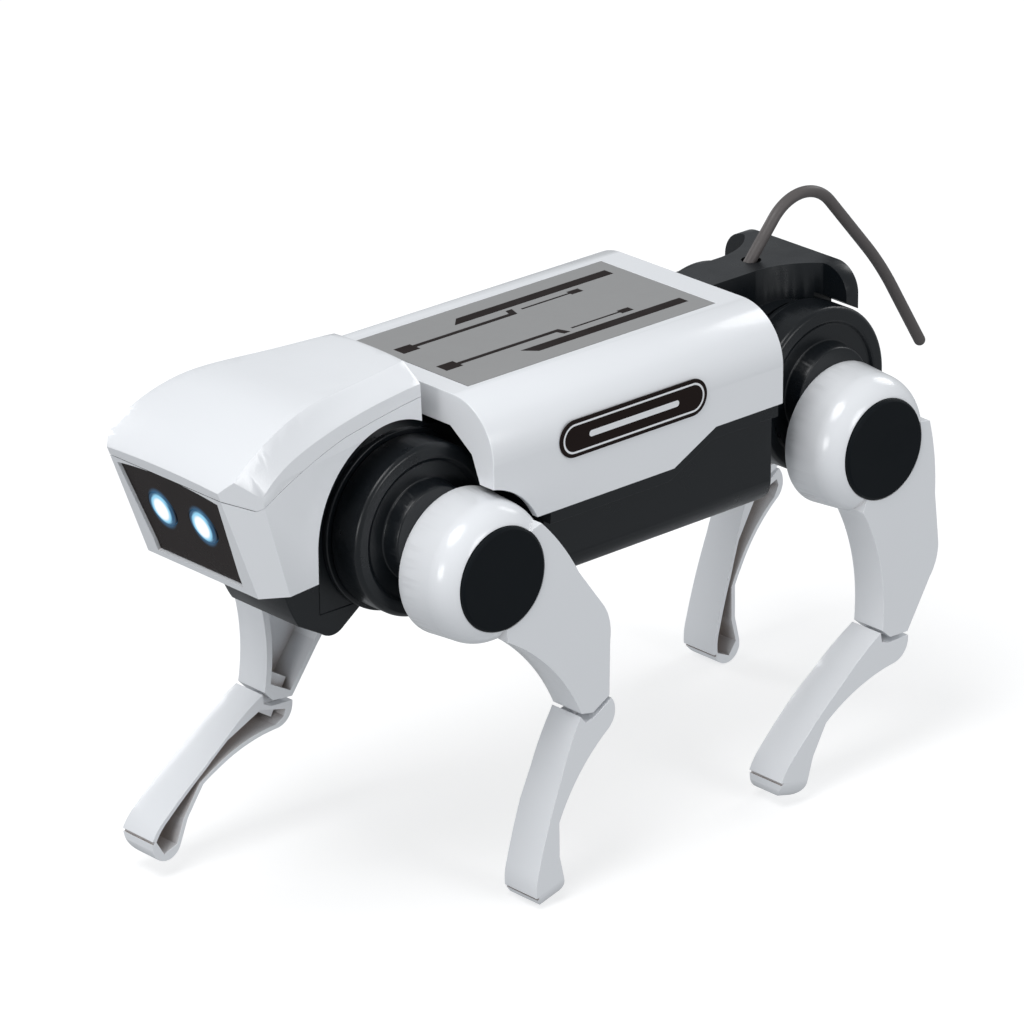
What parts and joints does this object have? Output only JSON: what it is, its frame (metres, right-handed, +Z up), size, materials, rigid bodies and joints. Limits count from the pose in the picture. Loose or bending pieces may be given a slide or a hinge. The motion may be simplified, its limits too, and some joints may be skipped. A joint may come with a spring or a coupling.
{
  "type": "walking robot dog toy",
  "caption": "Four-legged walking robot dog toy with swinging legs, wedge head with lit eyes, grey back panel and bent tail rod",
  "frame": {"origin": "on the ground under the middle of the toy's bounding box", "axes": "+Z up, -Y to the head, +X to the dog's left side"},
  "size_m": [0.0778, 0.2236, 0.1258],
  "materials": {
    "white_gloss": "glossy injection-moulded ABS",
    "black_satin": "satin black plastic",
    "black_matte": "matt black plastic",
    "panel_grey": "flat grey printed film",
    "trace_ink": "dark brown-black print",
    "badge_ink": "dark printed label",
    "face_ink": "dark brown-black face film",
    "eye_glow": "frosted white lens, lit from behind",
    "tail_grey": "grey-brown rubber skin",
    "nylon": "natural nylon",
    "steel": "bright steel",
    "board_green": "green circuit board",
    "cell_wrap": "plastic-wrapped dry cell"
  },
  "bodies": {
    "body": {"upper_shell": "white_gloss", "belly_shell": "black_satin", "battery_door": "black_satin", "back_panel": "panel_grey", "panel_traces": "trace_ink", "badge_left": "badge_ink", "badge_right": "badge_ink", "front_frame": "black_satin", "chin_guard": "black_satin", "collar_front_left": "black_satin", "collar_front_right": "black_satin", "collar_rear_left": "black_satin", "collar_rear_right": "black_satin", "rear_frame": "black_satin", "tail_rod": "tail_grey", "head_cover": "white_gloss", "head_shell": "white_gloss", "face_panel": "face_ink", "eye_left": "eye_glow", "eye_right": "eye_glow", "led_board": "board_green", "motor_can": "steel", "gear_plate_left": "black_satin", "gear_plate_right": "black_satin", "cell_left": "cell_wrap", "cell_right": "cell_wrap", "switch_body": "black_satin", "door_screw": "steel"},
    "leg_front_left": {"thigh_front_left": "white_gloss", "shin_front_left": "white_gloss", "cap_front_left": "black_matte", "hip_disc_front_left": "black_satin", "hip_shaft_front_left": "steel"},
    "leg_front_right": {"thigh_front_right": "white_gloss", "shin_front_right": "white_gloss", "cap_front_right": "black_matte", "hip_disc_front_right": "black_satin", "hip_shaft_front_right": "steel"},
    "leg_rear_left": {"thigh_rear_left": "white_gloss", "shin_rear_left": "white_gloss", "cap_rear_left": "black_matte", "hip_disc_rear_left": "black_satin", "hip_shaft_rear_left": "steel"},
    "leg_rear_right": {"thigh_rear_right": "white_gloss", "shin_rear_right": "white_gloss", "cap_rear_right": "black_matte", "hip_disc_rear_right": "black_satin", "hip_shaft_rear_right": "steel"},
    "bar_left": {"drive_bar_left": "nylon"},
    "bar_right": {"drive_bar_right": "nylon"},
    "crank": {"crankshaft": "nylon"},
    "cluster": {"cluster_gear": "nylon"},
    "rotor": {"motor_pinion": "steel"},
    "switch": {"switch_slider": "black_matte"}
  },
  "joints": [
    {"name": "hip_front_left", "type": "hinge", "parent": "body", "child": "leg_front_left", "pos_m": [0, -0.0585, 0.087], "axis": [1, 0, 0], "range_deg": [-30, 0]},
    {"name": "hip_front_right", "type": "hinge", "parent": "body", "child": "leg_front_right", "pos_m": [0, -0.0585, 0.087], "axis": [1, 0, 0], "range_deg": [0, 30]},
    {"name": "hip_rear_left", "type": "hinge", "parent": "body", "child": "leg_rear_left", "pos_m": [0, 0.0585, 0.087], "axis": [1, 0, 0], "range_deg": [0, 30]},
    {"name": "hip_rear_right", "type": "hinge", "parent": "body", "child": "leg_rear_right", "pos_m": [0, 0.0585, 0.087], "axis": [1, 0, 0], "range_deg": [-30, 0]},
    {"name": "bar_left_slide", "type": "slide", "parent": "body", "child": "bar_left", "axis": [0, 1, 0], "range_m": [0, 0.0052]},
    {"name": "bar_right_slide", "type": "slide", "parent": "body", "child": "bar_right", "axis": [0, 1, 0], "range_m": [-0.0052, 0]},
    {"name": "motor_spin", "type": "hinge", "parent": "body", "child": "rotor", "pos_m": [0, -0.0059, 0.1033], "axis": [1, 0, 0], "continuous": true},
    {"name": "cluster_spin", "type": "hinge", "parent": "body", "child": "cluster", "pos_m": [0, 0.0054, 0.1001], "axis": [1, 0, 0], "continuous": true},
    {"name": "crank_spin", "type": "hinge", "parent": "body", "child": "crank", "pos_m": [0, 0.02, 0.0932], "axis": [1, 0, 0], "continuous": true},
    {"name": "switch_slide", "type": "slide", "parent": "body", "child": "switch", "axis": [1, 0, 0], "range_m": [0, 0.004]}
  ],
  "couplings": [
    {"joint": "hip_front_right", "follows": "hip_front_left", "ratio": -1},
    {"joint": "hip_rear_left", "follows": "hip_front_left", "ratio": -1},
    {"joint": "hip_rear_right", "follows": "hip_front_left", "ratio": 1},
    {"joint": "bar_left_slide", "follows": "hip_front_left", "m_per_rad": -0.0098862},
    {"joint": "bar_right_slide", "follows": "hip_front_left", "m_per_rad": 0.0098862},
    {"joint": "cluster_spin", "follows": "motor_spin", "ratio": -0.33333},
    {"joint": "crank_spin", "follows": "motor_spin", "ratio": 0.10417}
  ]
}
